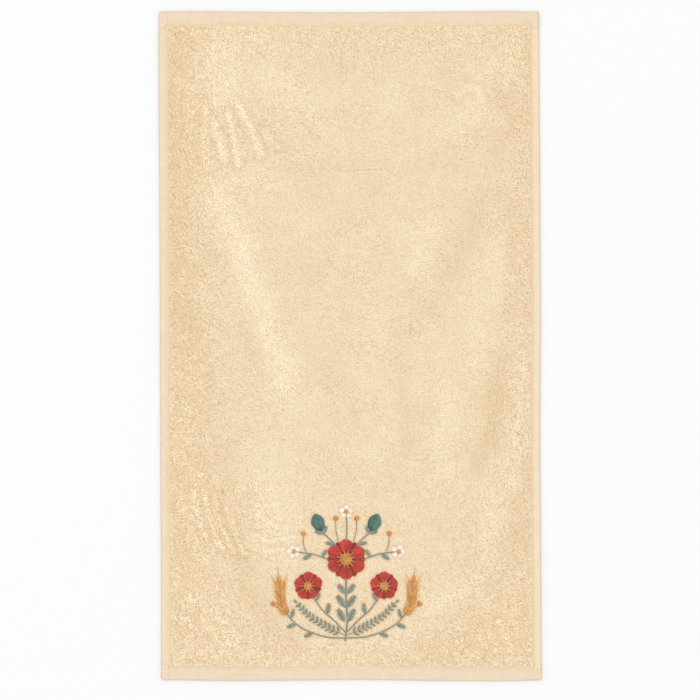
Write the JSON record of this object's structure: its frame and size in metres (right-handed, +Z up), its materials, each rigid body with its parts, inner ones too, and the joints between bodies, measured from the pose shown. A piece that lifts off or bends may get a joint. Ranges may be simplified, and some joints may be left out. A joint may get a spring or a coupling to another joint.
{
  "type": "towel",
  "caption": "Terry hand towel lying flat, with a pile field, narrow turned side hems, wider end hems and an embroidered flower spray near one end.",
  "frame": {"origin": "middle of the flat back, on the surface that the towel lies on", "axes": "+X across the width, to the right as the flowers stand upright; +Y along the length, away from the embroidered end; +Z up, out of the embroidered face"},
  "size_m": [0.403, 0.7046, 0.0042],
  "materials": {
    "terry": "matte cream cotton terry pile"
  },
  "bodies": {
    "root": {"towel": "terry"}
  },
  "joints": []
}
